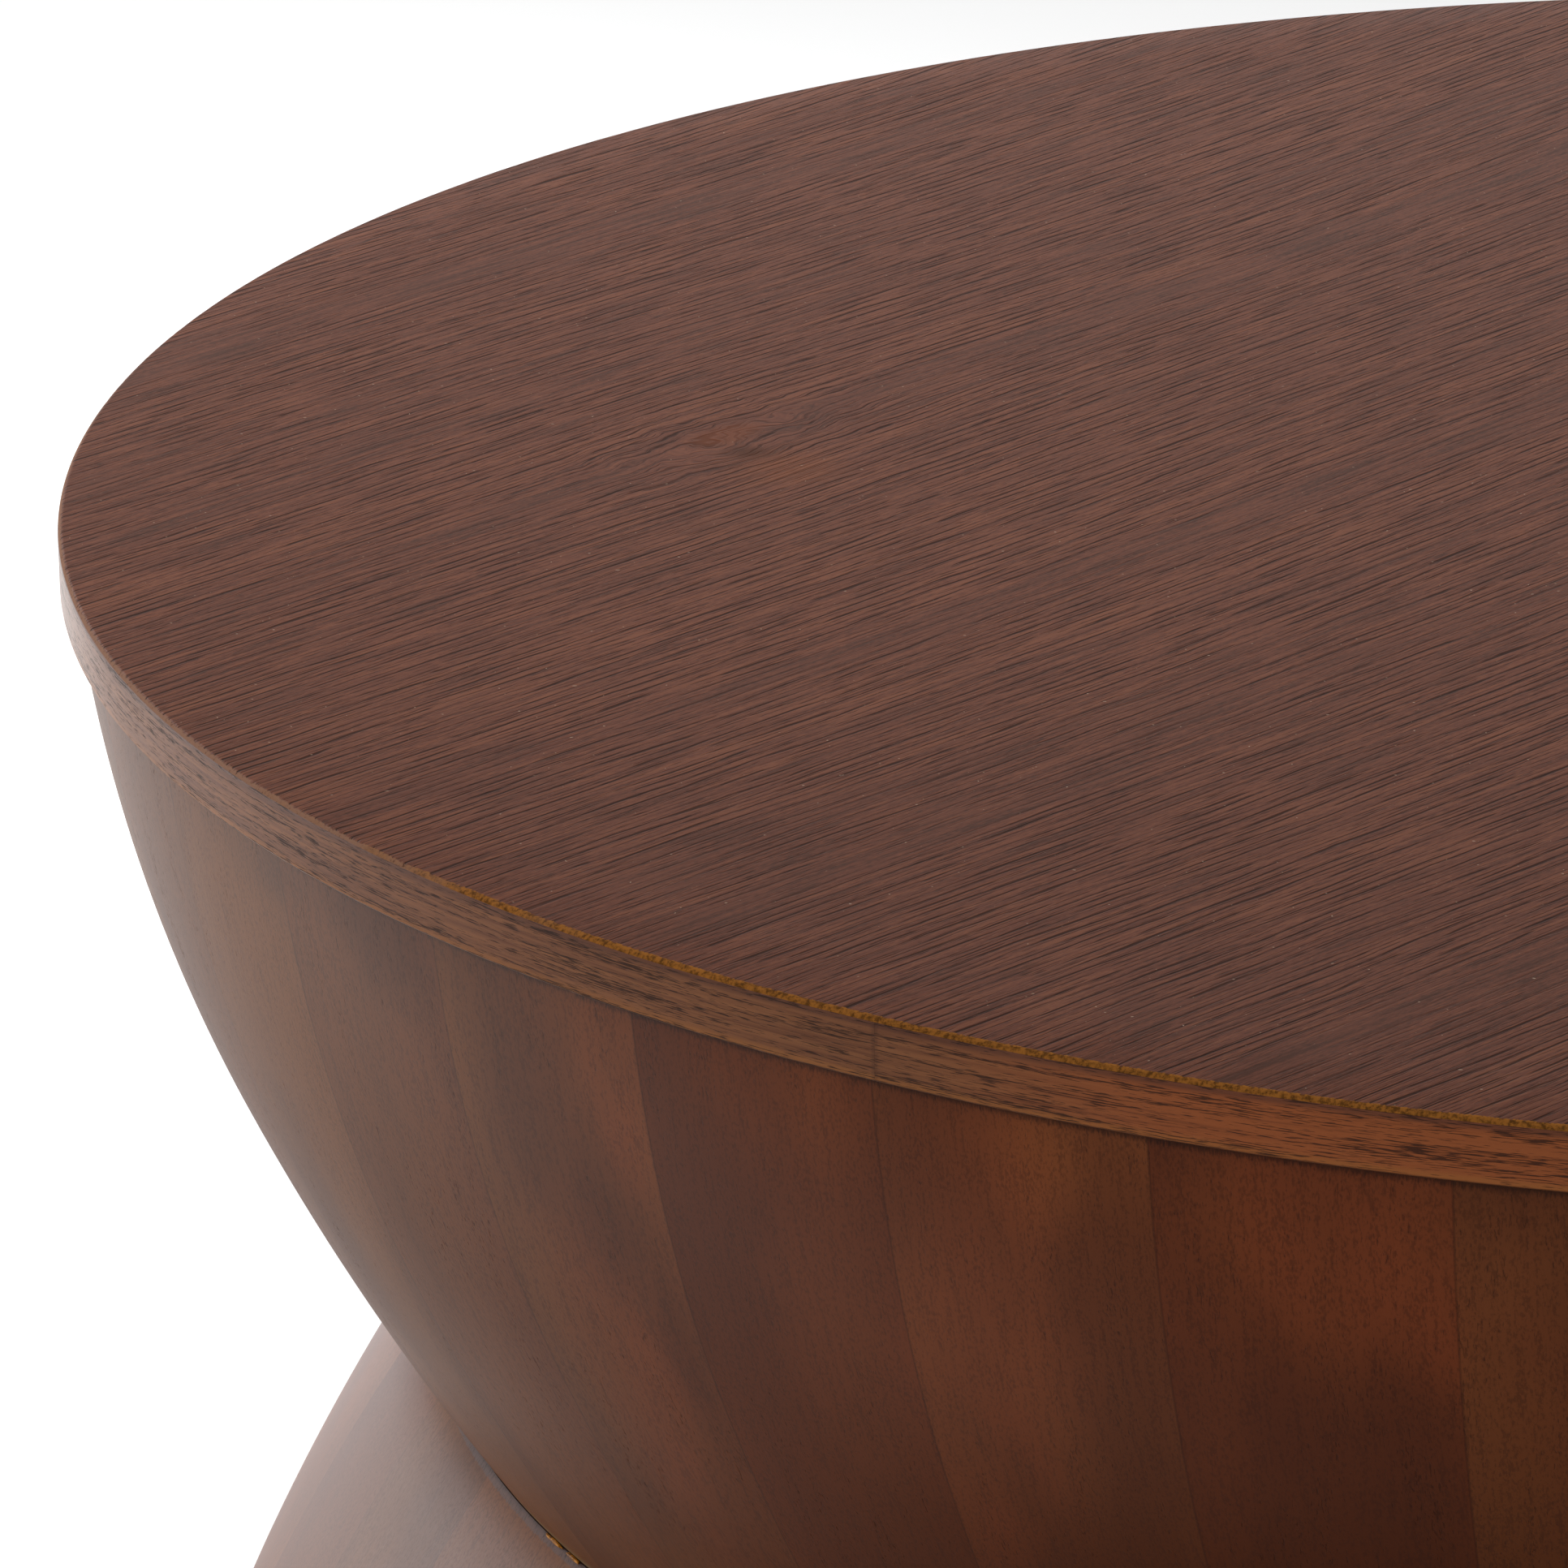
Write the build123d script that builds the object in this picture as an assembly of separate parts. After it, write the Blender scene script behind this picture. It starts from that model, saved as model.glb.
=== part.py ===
"""Low round drum table.

Two staved wooden bowls stand foot to foot, one the right way up and one upside down, and meet at a
narrow waist. Each stave is a straight plank, flat inside, and the ring of planks is turned to a bulging
side. A thin veneered board with a bent edge band closes the upper bowl. Plywood rings stiffen each
bowl's mouth and narrow end, dowels line up the waist rings, which are glued face to face, and crossed
battens stop the board from sagging.

The frame stands on the floor: origin under the middle of the table, +Z up, millimetres.
"""
from build123d import *
from math import atan2, cos, degrees, radians, sin, sqrt
import os

os.makedirs("parts", exist_ok=True)

# ---------------------------------------------------------------- driving dimensions: the top
top_radius = 445.0
core_thickness = 12.0
face_veneer_thickness = 0.9
backing_veneer_thickness = 0.6
edge_band_thickness = 2.0
edge_band_seam_gap = 0.15
edge_band_seam_azimuth = -117.6
arris = 1.0

# ---------------------------------------------------------------- driving dimensions: the bowls
band_overhang = 3.5
bowl_height = 194.0
waist_radius = 362.0
rim_lean = 6.0
bulge_drop = 106.0
bulge = 14.2
wall = 18.0
stave_tones = ("pale", "red", "olive", "brown")
staves_per_tone = 11
upper_seam_azimuth = -118.05
lower_seam_azimuth = -114.0
waist_gap = 0.5

# ---------------------------------------------------------------- driving dimensions: the rings
ring_thickness = 18.0
mouth_ring_width = 60.0
waist_ring_width = 88.0
glue_line = 0.1

# ---------------------------------------------------------------- driving dimensions: the battens
batten_height = 30.0
batten_width = 45.0
batten_fit = 0.3

# ---------------------------------------------------------------- driving dimensions: what holds it
rim_screw_count = 6
rim_screw_reach = 9.0
rim_screw_phase = 15.0
screw_radius = 2.0
screw_clearance = 0.25
screw_head_radius = 4.0
screw_head_height = 2.4

dowel_count = 4
dowel_radius = 5.0
dowel_depth = 14.0
dowel_hole_spare = 1.0
dowel_inset = 42.0
dowel_phase = 45.0

foot_pad_count = 6
foot_pad_radius = 14.0
foot_pad_thickness = 4.0
foot_pad_inset = 48.0
foot_pad_phase = 30.0

# ---------------------------------------------------------------- levels and radii that follow
foot_level = foot_pad_thickness
waist_level = foot_level + bowl_height + waist_gap / 2
upper_waist_level = waist_level + waist_gap / 2
rim_level = upper_waist_level + bowl_height
backing_top = rim_level + backing_veneer_thickness
core_top = backing_top + core_thickness
table_height = core_top + face_veneer_thickness

rim_radius = top_radius - band_overhang
core_radius = top_radius - edge_band_thickness
rim_inside_radius = rim_radius - wall
waist_inside_radius = waist_radius - wall
mouth_bore_radius = rim_inside_radius - mouth_ring_width
waist_bore_radius = waist_inside_radius - waist_ring_width
batten_reach = sqrt(mouth_bore_radius**2 - (batten_width / 2) ** 2) - batten_fit

staves_per_bowl = staves_per_tone * len(stave_tones)
stave_pitch = 360 / staves_per_bowl

# ---------------------------------------------------------------- helpers
standing = (Align.CENTER, Align.CENTER, Align.MIN)


def save(name, *solids):
    """Write one node: its separate solids in one STEP file."""
    export_step(Compound(label=name, children=list(solids)), f"parts/{name}.step")


def below_waist(shape):
    """The same piece of the lower bowl, which is the upper one turned over about the waist."""
    return mirror(shape, about=Plane.XY.offset(waist_level))


def around(count, radius, phase=0.0):
    """Places at equal steps on a circle about the table's axis, each turned to face outward."""
    step = 360 / count
    return [Rot(Z=phase + index * step) * Pos(X=radius) for index in range(count)]


def disc(radius, low, high):
    """A plain round plate between two levels."""
    return Pos(Z=low) * Cylinder(radius, high - low, align=standing)


def turn(section, arc=360.0):
    """Turn a half section, drawn with the radius across and the level up, about the table's axis."""
    return revolve(Plane.XZ * section, axis=Axis.Z, revolution_arc=arc)


# ---------------------------------------------------------------- the bowl's side
def chord_lean(upper, lower):
    """How far the straight line between two points of the side leans from upright, in degrees."""
    return degrees(atan2(upper[0] - lower[0], upper[1] - lower[1]))


def down_the_side(lean):
    """Unit step down the side of the bowl where it leans by this angle."""
    return Vector(-sin(radians(lean)), -cos(radians(lean)))


straight_bulge_radius = rim_radius - (rim_radius - waist_radius) * bulge_drop / bowl_height
rim_point = (rim_radius, rim_level)
bulge_point = (straight_bulge_radius + bulge, rim_level - bulge_drop)
waist_point = (waist_radius, upper_waist_level)
bulge_lean = 2 * chord_lean(rim_point, bulge_point) - rim_lean


def turned_side():
    """Half section of the bowl as turned outside: two arcs that meet at the bulge with one tangent."""
    rim_middle = (0, rim_level)
    waist_middle = (0, upper_waist_level)
    return make_face([
        TangentArc(rim_point, bulge_point, tangent=down_the_side(rim_lean)),
        TangentArc(bulge_point, waist_point, tangent=down_the_side(bulge_lean)),
        Line(waist_point, waist_middle),
        Line(waist_middle, rim_middle),
        Line(rim_middle, rim_point),
    ])


def inside_radius(level):
    """Distance from the axis to the flat inside of a stave, along the middle of the stave."""
    slope = (rim_inside_radius - waist_inside_radius) / bowl_height
    return waist_inside_radius + slope * (level - upper_waist_level)


def ring_in_bowl(low, high, bore_radius):
    """A plywood ring glued inside the bowl: its edge is bevelled to the staves, its bore is plain."""
    section = Polygon(
        (bore_radius, low),
        (inside_radius(low) - glue_line, low),
        (inside_radius(high) - glue_line, high),
        (bore_radius, high),
        align=None,
    )
    return turn(section)


# ---------------------------------------------------------------- the screws that hold the top down
screw_seat = rim_level - ring_thickness
screw_places = [
    Pos(Z=screw_seat) * place
    for place in around(rim_screw_count, mouth_bore_radius + mouth_ring_width / 2, rim_screw_phase)
]
shank_length = ring_thickness + backing_veneer_thickness + rim_screw_reach
screw_shank = Cylinder(screw_radius, shank_length, align=standing)


# ---------------------------------------------------------------- the top
def make_top():
    """Core board between two veneers, with the band bent round core and backing under the face."""
    whole = disc(top_radius, rim_level, table_height)
    whole = chamfer(whole.faces().sort_by(Axis.Z)[-1].edges(), arris)
    face_veneer = whole & disc(top_radius, core_top, table_height)
    edge = whole & disc(top_radius, rim_level, core_top)
    edge -= disc(core_radius, rim_level, core_top)
    seam = Pos(X=core_radius, Z=rim_level) * Box(
        3 * edge_band_thickness, edge_band_seam_gap, core_top - rim_level, align=standing
    )
    edge_band = edge - Rot(Z=edge_band_seam_azimuth) * seam

    backing = disc(core_radius, rim_level, backing_top)
    core = disc(core_radius, backing_top, core_top)
    for place in screw_places:
        backing -= place * screw_shank
        core -= place * screw_shank

    save("face_veneer", face_veneer)
    save("edge_band", edge_band)
    save("backing_veneer", backing)
    save("core_board", core)


# ---------------------------------------------------------------- the staves
def make_staves():
    """Each bowl is a ring of straight planks, flat inside and turned to the bulging side outside."""
    plank_inside = Polygon(
        (0, upper_waist_level),
        (waist_inside_radius, upper_waist_level),
        (rim_inside_radius, rim_level),
        (0, rim_level),
        align=None,
    )
    hollow = extrude(Plane.XZ * plank_inside, waist_inside_radius, both=True)
    stave = turn(turned_side(), stave_pitch) - Rot(Z=stave_pitch / 2) * hollow
    for bowl, first_seam in (("upper", upper_seam_azimuth), ("lower", lower_seam_azimuth)):
        blank = stave if bowl == "upper" else below_waist(stave)
        for number, tone in enumerate(stave_tones):
            places = range(number, staves_per_bowl, len(stave_tones))
            save(f"{bowl}_staves_{tone}", *[Rot(Z=first_seam + at * stave_pitch) * blank for at in places])


# ---------------------------------------------------------------- the mouths of the two bowls
def make_mouths():
    """Rim ring under the top with its screws, and foot ring with the pads that the table stands on."""
    ring = ring_in_bowl(rim_level - ring_thickness, rim_level, mouth_bore_radius)
    save("foot_ring", below_waist(ring))
    hole = Cylinder(screw_radius + screw_clearance, ring_thickness, align=standing)
    head = Cylinder(screw_head_radius, screw_head_height, align=standing)
    screw = screw_shank + Pos(Z=-screw_head_height) * head
    for place in screw_places:
        ring -= place * hole
    save("rim_ring", ring)
    save("rim_screws", *[place * screw for place in screw_places])

    pad = Cylinder(foot_pad_radius, foot_pad_thickness, align=standing)
    pad_places = around(foot_pad_count, rim_radius - foot_pad_inset, foot_pad_phase)
    save("foot_pads", *[place * pad for place in pad_places])


# ---------------------------------------------------------------- the waist
def make_waist():
    """A ring in the narrow end of each bowl, glued face to face and lined up by dowels."""
    upper_ring = ring_in_bowl(waist_level, waist_level + ring_thickness, waist_bore_radius)
    socket = Pos(Z=waist_level) * Cylinder(dowel_radius, dowel_depth + dowel_hole_spare, align=standing)
    dowel = Pos(Z=waist_level) * Cylinder(dowel_radius, 2 * dowel_depth)
    places = around(dowel_count, waist_bore_radius + dowel_inset, dowel_phase)
    for place in places:
        upper_ring -= place * socket
    save("upper_waist_ring", upper_ring)
    save("lower_waist_ring", below_waist(upper_ring))
    save("waist_dowels", *[place * dowel for place in places])


# ---------------------------------------------------------------- the battens
def make_battens():
    """Two battens cross under the board and are half-lapped where they meet."""
    low = rim_level - batten_height
    blank = Pos(Z=low) * Box(2 * batten_reach, batten_width, batten_height, align=standing)
    lap_width = batten_width + 2 * batten_fit
    lap = Box(lap_width, batten_width, batten_height / 2, align=standing)
    long_batten = blank - Pos(Z=low) * lap
    cross_batten = Rot(Z=90) * (blank - Pos(Z=low + batten_height / 2) * lap)
    save("long_batten", long_batten)
    save("cross_batten", cross_batten)


make_top()
make_staves()
make_mouths()
make_waist()
make_battens()
print("table height", table_height, "bulge lean", round(bulge_lean, 2), "staves", 2 * staves_per_bowl)
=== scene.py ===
# %% [markdown]
# # A low round drum table
# Two turned wooden bowls stand foot to foot under a flat veneered top. The solid model gives every piece
# its size and place. This notebook gives the pieces that can be seen a finer surface and a wood finish,
# and then sets up the floor, the light and the camera.
#
# We start by loading the solid model as a fixed frame, and read off the box of each piece that we need.

# %% Load the frame
from math import atan2, cos, degrees, pi, radians, sin

import bmesh
import bpy
from mathutils import Matrix, Vector, noise


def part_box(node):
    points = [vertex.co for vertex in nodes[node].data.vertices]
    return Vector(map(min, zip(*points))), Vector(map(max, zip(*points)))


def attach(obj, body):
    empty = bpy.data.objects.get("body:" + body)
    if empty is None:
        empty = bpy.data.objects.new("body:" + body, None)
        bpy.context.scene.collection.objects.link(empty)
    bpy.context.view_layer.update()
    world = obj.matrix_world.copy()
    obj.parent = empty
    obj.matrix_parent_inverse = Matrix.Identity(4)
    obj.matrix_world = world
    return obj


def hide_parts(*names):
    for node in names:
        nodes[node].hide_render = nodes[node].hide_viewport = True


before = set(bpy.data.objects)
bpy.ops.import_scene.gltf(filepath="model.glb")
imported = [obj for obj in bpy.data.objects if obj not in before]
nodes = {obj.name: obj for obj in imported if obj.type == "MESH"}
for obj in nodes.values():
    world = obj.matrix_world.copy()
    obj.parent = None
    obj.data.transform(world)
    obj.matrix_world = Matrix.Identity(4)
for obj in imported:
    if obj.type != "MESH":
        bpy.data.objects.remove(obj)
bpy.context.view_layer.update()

# %% [markdown]
# ## Shader maths as plain sums
# A wood finish needs a lot of small sums on noise patterns. Wiring them by hand is slow and hard to
# read, so a small class wraps a socket and lets us write the sums as Python expressions. Each operator
# adds one Math node, and `Finish.make` adds any other node.


# %% A socket that can be used in sums
class Wire:
    """An output socket of a finish; a sum on wires adds Math nodes."""

    def __init__(self, finish, socket):
        self.finish = finish
        self.socket = socket

    def sum(self, operation, *values):
        """One Math node on these values."""
        return self.finish.make("Math", {"operation": operation}, *values)

    def __add__(self, other):
        return self.sum("ADD", self, other)

    def __sub__(self, other):
        return self.sum("SUBTRACT", self, other)

    def __rsub__(self, other):
        return self.sum("SUBTRACT", other, self)

    def __mul__(self, other):
        return self.sum("MULTIPLY", self, other)

    def __truediv__(self, other):
        return self.sum("DIVIDE", self, other)

    def __rtruediv__(self, other):
        return self.sum("DIVIDE", other, self)

    def __pow__(self, other):
        return self.sum("POWER", self, other)

    __radd__ = __add__
    __rmul__ = __mul__

    def rise(self, low, high):
        """0 below low, 1 above high, smooth between; low may be the larger one."""
        smooth = {"interpolation_type": "SMOOTHSTEP"}
        return self.finish.make("MapRange", smooth, self, low, high, 0.0, 1.0)

    def sibling(self, name):
        """Another output of the node that this wire comes from."""
        return Wire(self.finish, self.socket.node.outputs[name])


# %% A finish and its one way to add a node
class Finish:
    """One material. make() adds a node: its type, its settings, then its sockets' values or wires."""

    def __init__(self, name):
        self.material = bpy.data.materials.new(name)
        self.material.use_nodes = True
        self.tree = self.material.node_tree
        self.tree.nodes.clear()

    def make(self, kind, settings=None, *values, out=None, **named):
        """Add one node, and give its first output or the one that out names."""
        node = self.tree.nodes.new("ShaderNode" + kind)
        for key, value in (settings or {}).items():
            setattr(node, key, value)
        open_inputs = [socket for socket in node.inputs if not socket.is_unavailable]
        for socket, value in zip(open_inputs, values):
            self.feed(socket, value)
        for key, value in named.items():
            wanted = key.replace("_", " ")
            self.feed(next(socket for socket in open_inputs if socket.name == wanted), value)
        open_outputs = [socket for socket in node.outputs if not socket.is_unavailable]
        chosen = open_outputs[0] if out is None else node.outputs[out]
        return Wire(self, chosen)

    def feed(self, socket, value):
        """Set a socket to a value, or link a wire to it."""
        if isinstance(value, Wire):
            self.tree.links.new(value.socket, socket)
        else:
            socket.default_value = value

    def place(self):
        """Where a point lies in the table's frame, in metres."""
        return self.make("TexCoord", None, out="Object")

    def stored_grain(self):
        """The grain coordinates that were stored with the mesh."""
        return self.make("Attribute", {"attribute_name": "grain"}, out="Vector")

    def blend(self, amount, colour_a, colour_b):
        """Colour a where amount is 0, colour b where it is 1."""
        return self.make("Mix", {"data_type": "RGBA"}, amount, colour_a, colour_b)

    def point(self, x, y, z=0.0):
        """A vector put together from three values."""
        return self.make("CombineXYZ", None, x, y, z)

    def parts(self, vector):
        """The three values of a vector."""
        x = self.make("SeparateXYZ", None, vector)
        return x, x.sibling("Y"), x.sibling("Z")

    def vector(self, operation, *values, out=None):
        """A sum on whole vectors."""
        return self.make("VectorMath", {"operation": operation}, *values, out=out)

    def length(self, vector):
        """How long a vector is."""
        return self.vector("LENGTH", vector, out="Value")

    def flattened(self, place):
        """The same place with its level taken out."""
        return self.vector("MULTIPLY", place, (1.0, 1.0, 0.0))

    def cloud(self, place, scale=1.0, detail=2.0, roughness=0.5):
        """Soft noise between 0 and 1 with its middle at 0.5."""
        return self.make(
            "TexNoise", None, Vector=place, Scale=scale, Detail=detail, Roughness=roughness,
        )

    def dents(self, height, depth):
        """A bump from a height between 0 and 1, this many metres deep."""
        return self.make("Bump", None, Height=height, Distance=depth, Strength=1.0)

    def close(self, **sockets):
        """Gather everything in one Principled shader, which ends the finish."""
        shader = self.make("BsdfPrincipled", None, **sockets)
        self.make_output(shader)
        return self.material

    def make_output(self, shader):
        """Let the shader be the surface of the material."""
        node = self.tree.nodes.new("ShaderNodeOutputMaterial")
        self.tree.links.new(shader.socket, node.inputs["Surface"])


def paint(code):
    """A colour written as six hex digits, as the light values that shaders use."""
    parts = [int(code[at:at + 2], 16) / 255 for at in (0, 2, 4)]
    light = [part / 12.92 if part <= 0.04045 else ((part + 0.055) / 1.055) ** 2.4 for part in parts]
    return (*light, 1.0)


print("the light values of a mid brown:", [round(part, 3) for part in paint("6b4a43")])

# %% [markdown]
# ## The sizes that the finer pieces share with the solids
# Levels and outer radii are read off the solids, so the finer pieces always fit them. The side of a bowl
# is two arcs that meet at the bulge with one tangent. It leans six degrees at the rim and more and more
# on the way down. The lower bowl is the upper one turned over, so one list of points does for both.


# %% Sizes of the table, in metres
def levels(node):
    """Lowest and highest level of one solid piece, to a hundredth of a millimetre."""
    low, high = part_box(node)
    return round(low.z, 5), round(high.z, 5)


def outer_radius(node):
    """How far one solid piece reaches from the table's axis, to a hundredth of a millimetre."""
    return round(max(vertex.co.xy.length for vertex in nodes[node].data.vertices), 5)


veneer_under, top_level = levels("face_veneer")
upper_waist, rim_level = levels("upper_staves_pale")
lower_waist = levels("lower_staves_pale")[1]
waist_level = (upper_waist + lower_waist) / 2
top_radius = outer_radius("edge_band")
band_inside = outer_radius("core_board")
arris_radius = 0.0015
rim_point = Vector((outer_radius("upper_staves_pale"), rim_level))
bulge_point = Vector((0.412264, 0.2865))
waist_point = Vector((0.362, upper_waist))
wall = 0.018
stave_tones = ("pale", "red", "olive", "brown")
staves_per_bowl = 44
stave_pitch = 2 * pi / staves_per_bowl
first_seam = {"upper": radians(-118.05), "lower": radians(-114.0)}


def lean_of(upper, lower):
    """How far the straight line between two points leans from upright."""
    return atan2(upper.x - lower.x, upper.y - lower.y)


rim_lean = radians(6.0)
bulge_lean = 2 * lean_of(rim_point, bulge_point) - rim_lean
waist_lean = 2 * lean_of(bulge_point, waist_point) - bulge_lean
leans = [round(degrees(lean), 2) for lean in (rim_lean, bulge_lean, waist_lean)]
print("lean at the rim, bulge and waist:", leans)

# %% [markdown]
# ## Walking down an arc
# A lathe cuts a smooth curve, so the side needs many points, not two or three. On an arc the lean changes
# evenly on the way down. So we only need its ends, the lean at each end, and how many steps to take.


# %% Points down the bowl's side
def arc_down(start, end, lean_a, lean_b, steps):
    """Points of the arc from start to end, whose lean changes evenly on the way down."""
    radius = (start - end).length / (2 * sin((lean_b - lean_a) / 2))
    centre = start - radius * Vector((cos(lean_a), -sin(lean_a)))
    leans = [lean_a + (lean_b - lean_a) * at / steps for at in range(steps + 1)]
    return [centre + radius * Vector((cos(lean), -sin(lean))) for lean in leans]


side = arc_down(rim_point, bulge_point, rim_lean, bulge_lean, 24)
side += arc_down(bulge_point, waist_point, bulge_lean, waist_lean, 18)[1:]
run_down = [0.0]
for upper, lower in zip(side, side[1:]):
    run_down.append(run_down[-1] + (upper - lower).length)
print("points down the side:", len(side), "length along it:", round(run_down[-1], 4))

# %% [markdown]
# ## Turning points into meshes
# Every wooden piece that can be seen is built from rings of points. The helper makes the normals face
# out, keeps sharp edges sharp, and stores for every point how far it lies along and across the grain, so
# that the finish follows each plank or strip instead of running straight through it.


# %% Build one mesh from points and faces
def build(name, points, faces, grain, sharp=30):
    """One piece: its points, faces and grain coordinates, riding on the table's one body."""
    mesh = bpy.data.meshes.new(name)
    mesh.from_pydata(points, [], faces)
    stored = mesh.attributes.new("grain", "FLOAT_VECTOR", "POINT")
    stored.data.foreach_set("vector", [value for triple in grain for value in triple])
    shell = bmesh.new()
    shell.from_mesh(mesh)
    bmesh.ops.recalc_face_normals(shell, faces=shell.faces)
    shell.to_mesh(mesh)
    shell.free()
    mesh.shade_smooth()
    mesh.set_sharp_from_angle(angle=radians(sharp))
    piece = bpy.data.objects.new(name, mesh)
    bpy.context.scene.collection.objects.link(piece)
    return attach(piece, "root")


def grid_faces(rows, columns, start=0, closed=True):
    """Quads between rows of points; closed joins each row's last point to its first."""
    last = columns if closed else columns - 1
    return [
        (start + r * columns + c, start + r * columns + (c + 1) % columns,
         start + (r + 1) * columns + (c + 1) % columns, start + (r + 1) * columns + c)
        for r in range(rows - 1) for c in range(last)
    ]


print("quads of three closed rows of four points:", len(grid_faces(3, 4)))

# %% [markdown]
# ## The staves
# Each bowl is a ring of forty-four straight planks glued edge to edge. The lathe turned the outside to
# the bulge; the inside is left flat. The planks come in four tones, one piece per tone, and each plank
# is a closed shell of its own, so that the glue lines between them are real edges. The third grain value
# is the plank's number, which will give every plank a figure of its own.

# %% The four tones of staves in each bowl
across_steps = 12
lower_numbers_from = 60


def stave_ring(radius, inside, seam):
    """One level of one stave: points on its turned outside, then the two corners of its flat inside."""
    half = stave_pitch / 2
    turns = [-half + 2 * half * at / across_steps for at in range(across_steps + 1)]
    corner = inside / cos(half)
    spots = [(radius, turn) for turn in turns] + [(corner, half), (corner, -half)]
    return [(r * cos(seam + half + turn), r * sin(seam + half + turn), r * turn) for r, turn in spots]


def make_stave_group(bowl, tone_number, tone):
    """All the staves of one tone in one bowl, each a closed shell."""
    points, faces, grain = [], [], []
    first_number = 0 if bowl == "upper" else lower_numbers_from
    for number in range(tone_number, staves_per_bowl, len(stave_tones)):
        seam = first_seam[bowl] + number * stave_pitch
        start = len(points)
        for spot, along in zip(side, run_down):
            share = (spot.y - waist_point.y) / (rim_point.y - waist_point.y)
            inside = waist_point.x - wall + (rim_point.x - waist_point.x) * share
            level = spot.y if bowl == "upper" else 2 * waist_level - spot.y
            for x, y, across in stave_ring(spot.x, inside, seam):
                points.append((x, y, level))
                grain.append((along, across, first_number + number))
        columns = across_steps + 3
        faces += grid_faces(len(side), columns, start)
        faces.append(tuple(range(start, start + columns)))
        faces.append(tuple(range(len(points) - columns, len(points))))
    node = f"{bowl}_staves_{tone}"
    piece = build(f"turned_{node}", points, faces, grain)
    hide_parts(node)
    return piece


staves = {
    (bowl, tone): make_stave_group(bowl, number, tone)
    for bowl in ("upper", "lower")
    for number, tone in enumerate(stave_tones)
}
print("stave pieces:", len(staves), "faces in one:", len(staves["upper", "pale"].data.polygons))

# %% [markdown]
# ## The top's face veneer and its worn arris
# The face is one sheet of veneer. Its edge was rounded over with sandpaper after staining, which cut
# through the stain and left a rough amber line. The line is real shape here: the rounding wanders in and
# out a little from place to place.

# %% The face veneer
turn_steps = 1440
arris_steps = 8
face_rings = (0.15, 0.3, 0.42)
under_ring = 0.3
coarse_wear = 0.00016
fine_wear = 0.00012
same_level = 0.0001


def wear(azimuth, row):
    """How far the sanded arris wanders in or out here, in metres."""
    spot = Vector((cos(azimuth), sin(azimuth), row * 8))
    return coarse_wear * noise.noise(spot * 22) + fine_wear * noise.noise(spot * 130)


def arris_profile():
    """Points round the top's edge, from the flat face down to the upright side."""
    centre_r, centre_z = top_radius - arris_radius, top_level - arris_radius
    turns = [pi / 2 * at / arris_steps for at in range(arris_steps + 1)]
    return [(centre_r + arris_radius * sin(turn), centre_z + arris_radius * cos(turn)) for turn in turns]


round_edge = arris_profile()
veneer_edge = [spot for spot in round_edge if spot[1] > veneer_under + same_level]
veneer_profile = [(radius, top_level) for radius in face_rings] + veneer_edge
above_centre = veneer_under - top_level + arris_radius
foot_radius = top_radius - arris_radius + (arris_radius**2 - above_centre**2) ** 0.5
veneer_profile += [(foot_radius, veneer_under), (under_ring, veneer_under)]


def make_face_veneer():
    """A disc of veneer: rings of points from the face round the arris to the underside."""
    points, grain = [], []
    for row, (radius, level) in enumerate(veneer_profile):
        worn = len(face_rings) < row < len(veneer_profile) - 2
        for step in range(turn_steps):
            azimuth = 2 * pi * step / turn_steps
            here = radius - (abs(wear(azimuth, row)) if worn else 0.0)
            points.append((here * cos(azimuth), here * sin(azimuth), level))
            grain.append((here * azimuth, level, 0.0))
    faces = grid_faces(len(veneer_profile), turn_steps)
    for level in (top_level, veneer_under):
        points.append((0.0, 0.0, level))
        grain.append((0.0, 0.0, 0.0))
    top_middle, under_middle = len(points) - 2, len(points) - 1
    last = (len(veneer_profile) - 1) * turn_steps
    for step in range(turn_steps):
        onward = (step + 1) % turn_steps
        faces.append((top_middle, step, onward))
        faces.append((under_middle, last + step, last + onward))
    piece = build("veneered_face", points, faces, grain, sharp=50)
    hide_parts("face_veneer")
    return piece


face_veneer = make_face_veneer()
print("face veneer points:", len(face_veneer.data.vertices))

# %% [markdown]
# ## The edge band
# A thin strip is bent round the board with its grain along the strip, and its two ends meet in one butt
# seam. It is a sweep of one section, open at the seam, with its own ends.

# %% The edge band
band_seam = radians(-117.6)
band_gap = 0.00003
lower_arris = 0.0004
side_levels = (0.401, 0.397, rim_level + lower_arris)
band_edge = [spot for spot in round_edge if spot[1] < veneer_under - same_level]
band_profile = [(band_inside, veneer_under), (foot_radius, veneer_under)] + band_edge
band_profile += [(top_radius, level) for level in side_levels]
band_profile += [(top_radius - lower_arris, rim_level), (band_inside, rim_level)]


def make_edge_band():
    """One section swept round the board, from one side of the butt seam to the other."""
    half = band_gap / top_radius / 2
    rows, grain = [], []
    for step in range(turn_steps + 1):
        azimuth = band_seam + half + (2 * pi - 2 * half) * step / turn_steps
        for radius, level in band_profile:
            rows.append((radius * cos(azimuth), radius * sin(azimuth), level))
            grain.append((top_radius * (azimuth - band_seam), level, 0.0))
    columns = len(band_profile)
    faces = grid_faces(turn_steps + 1, columns)
    faces.append(tuple(range(columns)))
    faces.append(tuple(range(len(rows) - columns, len(rows))))
    piece = build("bent_edge_band", rows, faces, grain)
    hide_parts("edge_band")
    return piece


edge_band = make_edge_band()
print("edge band points:", len(edge_band.data.vertices))

# %% [markdown]
# ## Dried glue at the waist
# Where the two bowls were pressed together a little glue came out and dried in amber beads that nobody
# scraped off. Each bead is a round ball of points, pushed in and out by noise and drawn out along the
# joint. Small accidents like these tell the eye that the joint is real.

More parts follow.
